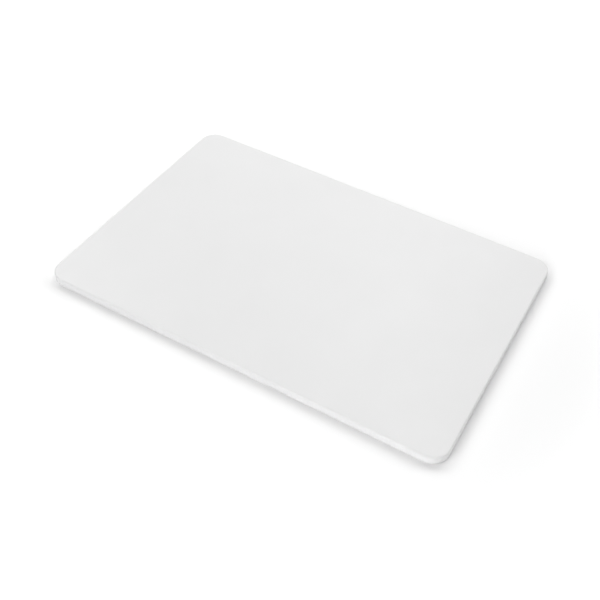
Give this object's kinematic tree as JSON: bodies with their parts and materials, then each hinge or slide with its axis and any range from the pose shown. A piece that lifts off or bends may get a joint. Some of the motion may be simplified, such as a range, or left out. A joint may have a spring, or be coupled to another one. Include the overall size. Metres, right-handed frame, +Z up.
{
  "type": "cutting board",
  "caption": "Flat rectangular cutting board of white polyethylene with rounded corners and softened edges, usable on either face.",
  "frame": {"origin": "centre of the underside, the face that the board rests on", "axes": "+X along the length, +Y along the width, +Z up through the thickness to the upper cutting face"},
  "size_m": [0.45, 0.3, 0.01],
  "materials": {
    "white_polyethylene": "fine matt faces with a soft sheen; routed edges of the same sheen, with very fine tool lines"
  },
  "bodies": {
    "root": {"board_slab": "white_polyethylene"}
  },
  "joints": []
}
